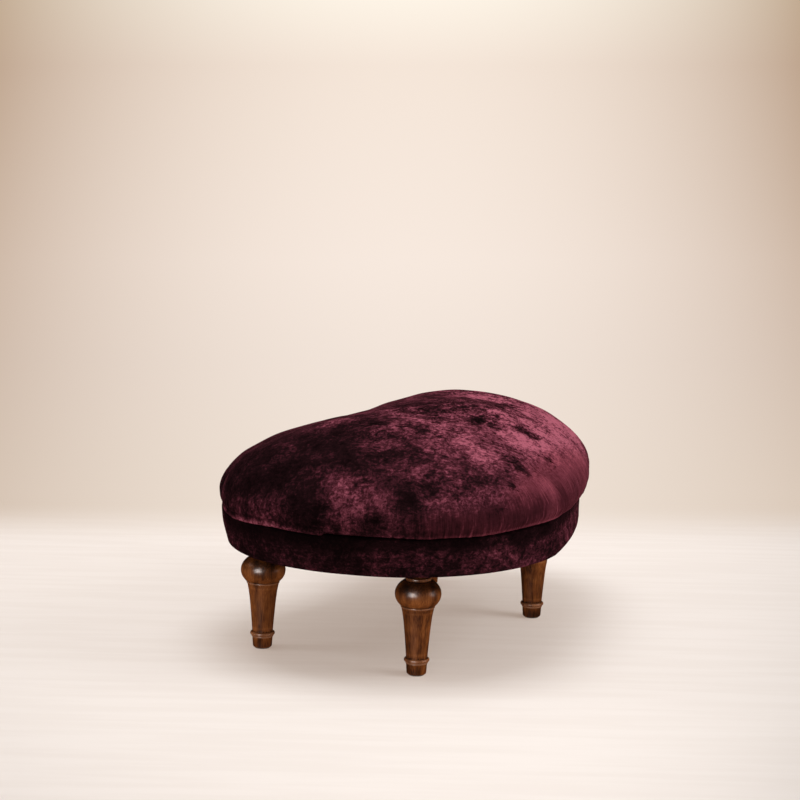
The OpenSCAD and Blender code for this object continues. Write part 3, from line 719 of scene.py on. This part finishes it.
# Small marks with ragged edges, where the pile is crushed flat and dark, or stands up and catches the light
# where the strength is below 0: middle and size across in mm, and strength.
MARKS = [
    (-46, -94, 290, 21, 0.50), (-42, -112, 287, 20, 0.48), (65, -114, 287, 35, 0.56),
    (89, -72, 296, 64, 0.43), (-12, -143, 277, 27, 0.68), (-4, -157, 270, 24, 0.62),
    (-146, -173, 260, 24, 0.68), (-154, -184, 252, 24, 0.68), (-65, -191, 250, 32, 0.56),
    (-197, -186, 239, 24, 0.56), (-246, -25, 276, 29, 0.56), (-246, -45, 274, 26, 0.56),
    (-225, -69, 277, 29, 0.56), (-273, -112, 246, 32, 0.50), (-286, -84, 248, 22, 0.38),
    (-305, -93, 228, 34, 0.56), (-327, -57, 208, 18, 0.46), (-332, 15, 212, 29, 0.56),
    (-28, -131, 281, 35, -0.14), (-40, -170, 264, 42, -0.25), (-196, -136, 267, 32, -0.12),
    (-175, -169, 257, 26, -0.31), (-93, -76, 293, 48, -0.19), (-263, -65, 265, 29, -0.25),
    (-136, 75, 292, 42, -0.37), (-150, 60, 292, 35, -0.43), (-77, 30, 297, 35, -0.31),
    (-313, -18, 241, 35, -0.19),
]


def spots(points, places):
    """The sum of round soft spots, each falling smoothly from its amount in the middle to 0 at its size."""
    total = np.zeros(points.shape[:-1])
    for x, y, z, size, amount in places:
        far = np.linalg.norm(points - np.array((x, y, z)) * MM, axis=-1)
        total += amount * smooth(far, size * MM, 0)
    return total


def cushion_pile_and_light(points, up):
    """How the cushion's pile lies, from 0 leaning away to 1 catching the light, with painted light and shade
    added, and how mottled it is.
    """
    x, y, z = np.moveaxis(points, -1, 0)
    # Painted light: lighter towards the front, and on the top towards the small lobe.
    lay = 0.25 + 0.12 * smooth(y, 0.06, -0.06) + 0.27 * smooth(y, -0.05, -0.17)
    lay += 0.29 * smooth(x, -0.16, 0.06) * smooth(z, 0.22, 0.27)
    lay += 0.04 * ripple(points, 0.15, 31) + 0.035 * ripple(points, 0.06, 32)
    lay += spots(points, PILE_AND_LIGHT_SPOTS)
    low = smooth(up, 55 * MM, 18 * MM)
    # Where it is calm, on the front and low down, the velvet also gets a painted warm light.
    calm = np.maximum(smooth(y, -0.16, -0.21) * 0.85, low * smooth(y, -0.06, -0.14) * 0.8)
    # Painted shade: darker low down on the front.
    lay -= 0.20 * low * smooth(y, 0.02, -0.16)
    return lay, 1 - calm + 0.55 * smooth(z, 0.282, 0.296)


def mesh_points(mesh):
    """Where a mesh's points lie, a row for each."""
    flat = np.empty(len(mesh.vertices) * 3, np.float32)
    mesh.vertices.foreach_get("co", flat)
    return flat.reshape(-1, 3)


# The simulation of the cover: its frames, how much smaller the copy is, its voxels, and how high it is held.
SIM_FRAMES = 20
SIM_SHRINK = 2 * MM
SIM_VOXEL = 5 * MM
SIM_HELD_Z = CREASE_Z + 5 * MM


def settle(points, up, pressure, more_cloth, cap):
    """The gathers that a Cloth simulation draws where a cover is held at the crease, as each point's shift.

    A slightly smaller copy, remeshed in voxels, is held up to just above the crease and blown up, with a
    little more cloth than it needs. A thinned-out grid rides on it by Surface Deform. The broad part of
    the way it moved is taken out, because the outline comes from the photograph, and the rest is capped.
    """
    rows = np.unique(np.append(np.arange(0, len(points), 3), len(points) - 1))
    cols = np.arange(0, points.shape[1], 4)
    free = smooth(up, 3 * MM, 30 * MM)[..., None]
    coarse = (points - grid_normals(points, False) * free * SIM_SHRINK)[rows][:, cols]
    body = weave("cover_body", coarse)
    rider = weave("cover_rider", coarse, merge=False)
    remesh = body.modifiers.new("voxels", "REMESH")
    remesh.mode = "VOXEL"
    remesh.voxel_size = SIM_VOXEL
    flat = bpy.data.meshes.new_from_object(body.evaluated_get(bpy.context.evaluated_depsgraph_get()))
    body.modifiers.clear()
    body.data = flat
    low = np.nonzero(mesh_points(flat)[:, 2] < SIM_HELD_Z)[0]
    body.vertex_groups.new(name="held").add(low.tolist(), 1.0, "REPLACE")
    cloth = body.modifiers.new("cover", "CLOTH")
    cloth.settings.vertex_group_mass = "held"
    cloth.settings.quality = 6
    cloth.settings.use_pressure = True
    cloth.settings.uniform_pressure_force = pressure
    cloth.settings.effector_weights.gravity = 0
    cloth.settings.shrink_min = -more_cloth
    cloth.point_cache.frame_start = 1
    cloth.point_cache.frame_end = SIM_FRAMES
    ride = rider.modifiers.new("ride", "SURFACE_DEFORM")
    ride.target = body
    scene.frame_set(1)
    with bpy.context.temp_override(object=rider, active_object=rider, selected_objects=[rider]):
        bpy.ops.object.surfacedeform_bind(modifier="ride")
    for step in range(1, SIM_FRAMES + 1):
        scene.frame_set(step)
    ended = mesh_points(rider.evaluated_get(bpy.context.evaluated_depsgraph_get()).data)
    shift = ended.reshape(coarse.shape) - coarse
    for used in (rider, body):
        bpy.data.objects.remove(used)
    scene.frame_set(1)
    shift -= average(shift, rows=1, cols=4)
    shift *= np.minimum(1, cap / np.maximum(np.linalg.norm(shift, axis=-1), 1e-9))[..., None]
    return spread(shift, rows, cols, points.shape) * free


def average(values, rows, cols):
    """A grid's values averaged twice over a window, round the columns and held at the first and last rows."""
    for _ in range(2):
        padded = np.pad(values, ((rows, rows), (0, 0), (0, 0)), mode="edge")
        values = sum(padded[k:k + len(values)] for k in range(2 * rows + 1)) / (2 * rows + 1)
        values = sum(np.roll(values, k, axis=1) for k in range(-cols, cols + 1)) / (2 * cols + 1)
    return values


def spread(coarse, rows, cols, shape):
    """Values of a thinned-out grid carried to the full one, straight between rows and round the columns."""
    at = np.arange(shape[0])
    k = np.clip(np.searchsorted(rows, at, side="right") - 1, 0, len(rows) - 2)
    t = ((at - rows[k]) / (rows[k + 1] - rows[k]))[:, None, None]
    tall = coarse[k] * (1 - t) + coarse[k + 1] * t
    at = np.arange(shape[1])
    k = np.searchsorted(cols, at, side="right") - 1
    after = (k + 1) % len(cols)
    t = ((at - cols[k]) / ((cols[after] - cols[k]) % shape[1]))[None, :, None]
    return tall[:, k] * (1 - t) + tall[:, after] * t


def make_cushion():
    """The cushion in its velvet, with gathers, puckers and soft unevenness."""
    rim = Rim(long_n=150, small_n=260, big_n=500)
    points, crease_row = cushion_rows(rim, crown_n=72, side_n=9, roll_n=8, under_n=5)
    up = climb(points, crease_row)
    outward = grid_normals(points, False)
    shown = smooth(up, -4 * MM, 6 * MM)
    drawn = settle(points, up, pressure=2.0, more_cloth=0.028, cap=2.4 * MM)
    drawn = drawn * (0.45 * smooth(up, 130 * MM, 70 * MM))[..., None]
    on_roll = roll_share(rim)
    folds = gathers(rim, up) * 0.6 * (1 - on_roll * smooth(up, 14 * MM, 7 * MM))
    swell = folds + edge_roll(rim, up)
    # The folds' depth with the simulated gathers, used below only for painted shade and highlight.
    folds = folds + (drawn * outward).sum(-1) * 0.4 * (1 - 0.7 * smooth(points[..., 0], -0.16, -0.10))
    swell += shown * (0.9 * MM * ripple(points, 0.13, 5) + 0.35 * MM * ripple(points, 0.045, 6))
    swell += spots(points, FULLNESS) * MM
    points = points + drawn + outward * swell[..., None]
    lay, mottle = cushion_pile_and_light(points, up)
    # Painted shade in the valleys of the folds and painted highlight on their ridges; then painted light
    # along the lower edge and on the thin folds.
    lay += np.clip(folds / MM, -0.9, 0.6) * 0.16
    lay += painted_edge_light(rim, up) + 0.16 * painted_creases(rim, up)
    side = smooth(up, 75 * MM, 45 * MM)
    values = {"lay": lay, "side": side, "mottle": mottle, "mark": spots(points, MARKS)}
    piece = weave("cushion", points, uv=nap_map(rim, up), values=values)
    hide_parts("seat_cover", "seat_wadding", "seat_foam")
    return piece


# The band

BAND_TOP_R = 6 * MM
BAND_EDGE_R = 3.7 * MM
BAND_BACK = 0.3 * MM


def band_rows(rim):
    """Rings of the closed hoop: the lip under the base board, a small round edge, a side that follows a sine
    out to its fullest, a rounder edge, the lip in the crease, and the back against the frame."""
    foot, full = rim.swing(BAND_FOOT_OUT), rim.swing(BAND_OUT)
    foot_z = BASE_Z - VELVET_T
    low = foot_z + BAND_EDGE_R
    high = CREASE_Z - BAND_TOP_R
    rows = []
    for s in np.linspace(0, 1, 5)[:-1]:
        rows.append(rim.ring(-UNDER_LIP + (foot - BAND_EDGE_R + UNDER_LIP) * s, foot_z))
    rows += rounded(rim, foot, low, BAND_EDGE_R, np.linspace(-math.pi / 2, 0, 7))
    rows += swelling(rim, foot, full, low, high, 20)[:-1]
    rows += rounded(rim, full, high, BAND_TOP_R, np.linspace(0, math.pi / 2, 9))
    for s in np.linspace(0, 1, 5)[1:]:
        rows.append(rim.ring((full - BAND_TOP_R) * (1 - s) - CREASE_LIP * s, CREASE_Z))
    for d, z in ((-CREASE_LIP, FRAME_TOP), (BAND_BACK, FRAME_TOP), (BAND_BACK, BASE_Z), (-UNDER_LIP, BASE_Z)):
        rows.append(rim.ring(d, z))
    return np.array(rows)


def band_pile_and_light(points):
    """How the band's pile lies, with painted light and shade: darkest towards the back of the big lobe,
    lighter along the front, and shaded under the cushion's edge.
    """
    x, y, z = np.moveaxis(points, -1, 0)
    lay = 0.29 + 0.04 * ripple(points, 0.12, 41) + 0.04 * ripple(points, 0.05, 42)
    lay += 0.06 * smooth(y, 0.06, -0.08) + 0.2 * smooth(y, -0.05, 0.10) * smooth(x, -0.12, 0.10)
    # Painted shade under the cushion's overhanging edge.
    lay -= 0.21 * smooth(z, CREASE_Z - 24 * MM, CREASE_Z - 8 * MM)
    return lay - 0.08 * smooth(x, -0.2, -0.26) * smooth(y, 0.0, 0.1)


def make_band():
    """The padded band in its velvet, a little uneven, with a sewn seam in the hollow back."""
    rim = Rim(long_n=120, small_n=180, big_n=280)
    points = band_rows(rim)
    up = climb(points, 0)
    outward = grid_normals(points, True)
    heights = points[..., 2]
    shown = smooth(heights, BASE_Z - VELVET_T, BASE_Z + 8 * MM) * smooth(heights, CREASE_Z, CREASE_Z - 5 * MM)
    shown = shown * smooth(up, 16 * MM, 22 * MM) * smooth(up, 76 * MM, 70 * MM)
    seam = hump(rim.off(run_at(HOLLOW_C, -99)), 0, 1.2 * MM)
    uneven = 0.7 * MM * ripple(points, 0.08, 7) + 0.25 * MM * ripple(points, 0.03, 8)
    points = points + outward * (shown * (uneven - 0.9 * MM * seam))[..., None]
    values = {"lay": band_pile_and_light(points), "side": 0.1, "mottle": 1.08, "mark": 0.0}
    piece = weave("band", points, closed_rows=True, uv=nap_map(rim, up), values=values, merge=False)
    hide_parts("band_cover", "band_wadding")
    return piece


# The legs

# Each leg: its lobe's middle and radius, the way it lies from there in degrees, how far in from the edge it
# stands, and how much lighter or darker its wood is drawn.
LEGS = {
    "leg_front_left": (BIG_C, BIG_R, 213, 67 * MM, 0.03),
    "leg_front_right": (SMALL_C, SMALL_R, 250, 31 * MM, -0.08),
    "leg_back_left": (BIG_C, BIG_R, 119, 42 * MM, 0.06),
    "leg_back_right": (SMALL_C, SMALL_R, 40, 58 * MM, 0.0),
}


def leg_middle(name):
    """A leg stands on a lobe's radius at an angle, a distance in from the frame's edge."""
    middle, radius, turn, inset = LEGS[name][:4]
    return middle + (radius - inset) * toward(turn)


def arc(r, z, across, high, start, end, n):
    """Points on an ellipse about (r, z), from angle start to end in degrees."""
    a = np.radians(np.linspace(start, end, n))
    return [(r + across * math.cos(t), z + high * math.sin(t)) for t in a]


def leg_profile():
    """The turned leg from its sole to the bore in its top, as radii and heights in millimetres: rounded foot,
    step, bead, tapering shaft with a flare, collar, groove, bulb, neck ring, cove and top disc."""
    foot = arc(10.8, 4.0, 1.5, 2.5, -90, 0, 8) + [(13.1, 14.4)] + arc(12.8, 14.7, 0.5, 0.5, 0, 90, 4)
    step = [(13.3, 15.2)] + arc(13.6, 15.6, 0.4, 0.4, -90, 0, 4) + arc(13.6, 16.4, 0.4, 0.4, 0, 90, 4)
    bead = arc(13.2, 19.4, 2.7, 2.6, -90, 90, 15)
    shaft = [(13.2 + 7.2 * (0.72 * k + 0.28 * k ** 5), 22.0 + 63.5 * k) for k in np.linspace(0, 1, 26)]
    collar = arc(20.1, 86.7, 1.2, 1.2, -90, 90, 11)
    groove = [(20.4, 88.1), (20.4, 88.5)]
    start = -math.degrees(math.asin(14.1 / 21.7))
    end = math.degrees(math.asin(16.6 / 21.7))
    bulb = arc(0, 102.7, 28.75, 21.7, start, end, 40)
    ring = [(16.1, 119.4)] + arc(15.3, 121.55, 1.0, 2.1, -90, 90, 10)
    cove = [(14.0, 124.0)] + arc(17.5, 134.4, -3.5, -8.2, 80, 0, 12)[1:]
    disc = arc(16.9, 135.2, 0.6, 0.6, -60, 0, 4) + arc(16.5, 138.4, 1.0, 1.0, 0, 90, 5)
    bore = [(4.1, 139.4), (4.1, 107.3), (0.0, 107.3)]
    lower = [(0.0, 1.5)] + foot + step + bead + shaft + collar
    return np.array(lower + groove + bulb + ring + cove + disc + bore) * MM


def lathe(name, middle, profile, around_n=112, values=None):
    """The profile, radii and heights from the bottom up its outside, carried round an upright line."""
    a = np.arange(around_n) / around_n * 2 * math.pi
    points = np.stack([
        middle[0] + profile[:, :1] * np.cos(a), middle[1] + profile[:, :1] * np.sin(a),
        np.broadcast_to(profile[:, 1:], (len(profile), around_n))], axis=-1)
    return weave(name, points, values=values, sharp=48)


def edge_wear_and_light(profile):
    """How much each place on a profile sticks out, from -1 in a groove to 1 on an edge, by its turn there."""
    ahead = np.diff(profile, axis=0)
    angle = np.unwrap(np.arctan2(ahead[:, 1], ahead[:, 0]))
    bend = np.concatenate([[0], np.diff(angle), [0]])
    return np.clip(np.convolve(bend, [0.25, 0.5, 1, 0.5, 0.25], mode="same"), -1, 1)


def make_legs():
    """The four turned legs, each with its own wood."""
    profile = leg_profile()
    # How far each ring sticks out: worn and given a painted highlight on edges, painted shade in grooves.
    wear = edge_wear_and_light(profile)[:, None]
    for seed, name in enumerate(LEGS):
        middle = leg_middle(name)
        piece = lathe("turned_" + name, middle, profile, values={"wear": wear})
        piece.data.materials.append(walnut("walnut_" + name[4:], middle, seed, tone_shift=LEGS[name][4]))
        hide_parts(name)
        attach(piece, "root")


def make_felt():
    """Four thin felt discs with softened edges, as one piece."""
    edges = arc(9.3, 0.5, 0.5, 0.5, -90, 0, 5) + arc(9.3, 1.1, 0.5, 0.4, 0, 90, 5)
    profile = np.array([(0.0, 0.0)] + edges + [(0.0, 1.5)]) * MM
    discs = [lathe("felt_pad", leg_middle(name), profile, 64) for name in LEGS]
    whole = bmesh.new()
    for disc in discs:
        whole.from_mesh(disc.data)
    mesh = bpy.data.meshes.new("felt_pads")
    whole.to_mesh(mesh)
    whole.free()
    for disc in discs:
        bpy.data.objects.remove(disc)
    piece = add("felt_pads", mesh)
    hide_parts("foot_pads")
    return piece


# The dust cover

DUST_IN = 7 * MM
DUST_STEP = 1.5 * MM
CLOTH_T = 0.45 * MM


def make_dust_cover():
    """Black cloth under the stool: it lies on the velvet's lip round the edge, steps up to the base board
    inside it, and sags a little in small puckers."""
    rim = Rim(long_n=60, small_n=90, big_n=140)
    under = []
    for d in np.linspace(-DUST_IN, -UNDER_LIP, 6):
        under.append(rim.ring(d, BASE_Z - VELVET_T - DUST_T))
    for s in np.linspace(0, 1, 26) ** 1.2:
        under.append(rim.ring(-UNDER_LIP - DUST_STEP, BASE_Z - DUST_T, s))
    under = np.array(under)[::-1]
    sag = 0.35 * MM * (ripple(under, 0.05, 51) + 0.6 * ripple(under, 0.02, 52))
    under[..., 2] -= np.clip(sag, 0, 0.9 * MM) * 0.6
    over = under[::-1] + [0, 0, CLOTH_T]
    piece = weave("dust_cloth", np.concatenate([under, over]))
    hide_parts("dust_cover")
    return piece


# The stage and the lights

# The floor glows a little by itself, as if lit from all round, so that shadows on it stay light.
FLOOR_ALBEDO = 0.535
FLOOR_GLOW = (0.328, 0.248, 0.200)
HALF_FRAME = PHOTO_PX / 2 / FOCAL_PX
FLOOR_R = 14.0
WALL_R = 13.9
WALL_H = 9.0

# How far behind the stool the floor fades into the wall, and how much further off to the right, per metre.
HORIZON = (0.50, 0.86)
HORIZON_TILT = 0.095


def stage_material():
    """Pale warm floor that turns into the glow of a far wall, laid out as the photograph's camera sees it."""
    f = Finish("stage")
    x, y, z = f.parts(f.place())
    away = x * math.sin(CAMERA_TURN) + y * math.cos(CAMERA_TURN)
    aside = x * math.cos(CAMERA_TURN) - y * math.sin(CAMERA_TURN)
    depth = (away + math.hypot(*CAMERA_AT[:2])).math("MAXIMUM", 1.6)
    height = (z - CAMERA_AT[2] - aside * CAMERA_ROLL).math("DIVIDE", depth)
    across = aside.math("DIVIDE", depth) * (1 / HALF_FRAME)
    lateral = across.math("ABSOLUTE").math("MINIMUM", 1.06) * away.rise(-2.4, -0.8)
    far_aside = lateral * lateral
    to_right = across.fit(0.0, 1.0)
    wall = f.colour(
        (height + 0.205).fit(0.0, 0.28), (0.0, (0.865, 0.755, 0.660)), (0.10, (0.870, 0.760, 0.667)),
        (0.29, (0.888, 0.776, 0.694)), (0.46, (0.931, 0.814, 0.730)), (0.80, (0.915, 0.790, 0.690)),
        (0.92, (1.0, 0.915, 0.800)))
    # Painted shade: the far wall and floor darken towards the sides, more higher up and on the right.
    fall = far_aside * (0.22 + (height + 0.19).fit(0.0, 0.24) * (0.28 + to_right * 0.09))
    painted = f.vector("MULTIPLY", wall, f.vector("MULTIPLY_ADD", fall, (-0.86, -1.04, -1.20), (1, 1, 1)))
    swept = f.node("ShaderNodeCombineXYZ", {}, {0: aside * 3.5, 1: away * 38})
    streak = f.noise(swept, 1.0, 3, 0.55)
    tone = f.blend(streak.rise(0.36, 0.64), (0.955, 0.95, 0.945, 1), (1, 1, 1, 1))
    # Painted shade on the floor towards the sides, most on the right, and painted light growing behind the
    # stool.
    edge_fall = 1 - far_aside * ((height + 0.36).fit(0.14, 0.0) * 0.07 + 0.02 + to_right * 0.15)
    edge_fall = edge_fall * (away.fit(-0.9, 0.5) * 0.05 + 0.965)
    ground = f.vector("MULTIPLY", tone, edge_fall * FLOOR_ALBEDO)
    near = f.node("ShaderNodeBsdfPrincipled", {}, {
        "Base Color": ground, "Roughness": 1.0, "Specular IOR Level": 0.0,
        "Emission Color": f.vector("MULTIPLY", FLOOR_GLOW, edge_fall), "Emission Strength": 1.0})
    far = f.node("ShaderNodeEmission", {}, {"Color": painted, "Strength": 1.0})
    faded = (away - aside * HORIZON_TILT).rise(*HORIZON)
    surface = f.node("ShaderNodeMixShader", {}, {0: faded, 1: near, 2: far})
    f.node("ShaderNodeOutputMaterial", {}, {"Surface": surface})
    return f.material


def make_stage():
    """A wide round floor, and a far round wall that only the camera sees."""
    a = np.arange(96) / 96 * 2 * math.pi
    ring = np.stack([np.cos(a), np.sin(a), 0 * a], axis=1)
    floor = weave("floor", np.array([ring * FLOOR_R, ring * 0]))
    wall = weave("backdrop", np.array([ring * WALL_R + [0, 0, WALL_H], ring * WALL_R]), merge=False)
    material = stage_material()
    for piece in (floor, wall):
        piece.data.materials.append(material)
    wall.visible_diffuse = False
    wall.visible_glossy = floor.visible_glossy = False


def softbox(name, at, aim, size, power, colour=(1, 0.99, 0.98), gleam_only=False):
    """A square soft light at a place, facing a point; gleam_only keeps it to reflections."""
    lamp = bpy.data.lights.new(name, "AREA")
    lamp.shape = "SQUARE"
    lamp.size = size
    lamp.energy = power
    lamp.color = colour
    back = unit(np.subtract(at, aim))
    side = unit(np.cross([0.0, 0.3, 1.0], back))
    light = add(name, lamp, at, (side, np.cross(back, side), back))
    light.visible_diffuse = not gleam_only


def light_room():
    """Even light from all round, three soft lights, and two windows that show only as gleams."""
    world = bpy.data.worlds.new("room")
    scene.world = world
    world.use_nodes = True
    room = world.node_tree.nodes["Background"]
    room.inputs["Color"].default_value = (1.0, 0.95, 0.90, 1)
    room.inputs["Strength"].default_value = 0.60
    world.cycles_visibility.glossy = False
    aim = (0, 0, 0.15)
    softbox("overhead", (-0.28, 0.0, 2.3), aim, 1.2, 28)
    softbox("right_side", (0.2, -2.2, 1.5), aim, 1.3, 28)
    softbox("left_side", (-0.9, 1.9, 1.6), aim, 0.45, 6)
    softbox("window", (-3.32, 0.36, 0.77), aim, 1.4, 420, gleam_only=True)
    softbox("far_window", (0.0, -2.53, 0.56), aim, 1.0, 34, gleam_only=True)


scene.view_settings.view_transform = "Standard"
set_camera()
make_stage()
light_room()

plush = velvet()
for piece, material in (
        (make_cushion(), plush), (make_band(), plush), (make_dust_cover(), cambric()), (make_felt(), felt())):
    piece.data.materials.append(material)
    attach(piece, "root")
make_legs()

ply = plywood()
wire = metal("staple_wire", (0.52, 0.53, 0.55), 0.32)
zinc = metal("zinc_steel", (0.58, 0.60, 0.62), 0.28)
wood = pine()
CAD_FINISHES = {
    "seat_board": ply, "top_ring": ply, "base_board": ply, "band_skin": hardboard(),
    "seat_screws": metal("yellow_screw", (0.55, 0.42, 0.18), 0.3), "hanger_bolts": zinc, "tee_nuts": zinc,
}
for name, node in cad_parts.items():
    finish = CAD_FINISHES.get(name)
    if name.startswith("spacer"):
        finish = wood
    if name.endswith("staples"):
        finish = wire
    if finish:
        node.data.materials.clear()
        node.data.materials.append(finish)
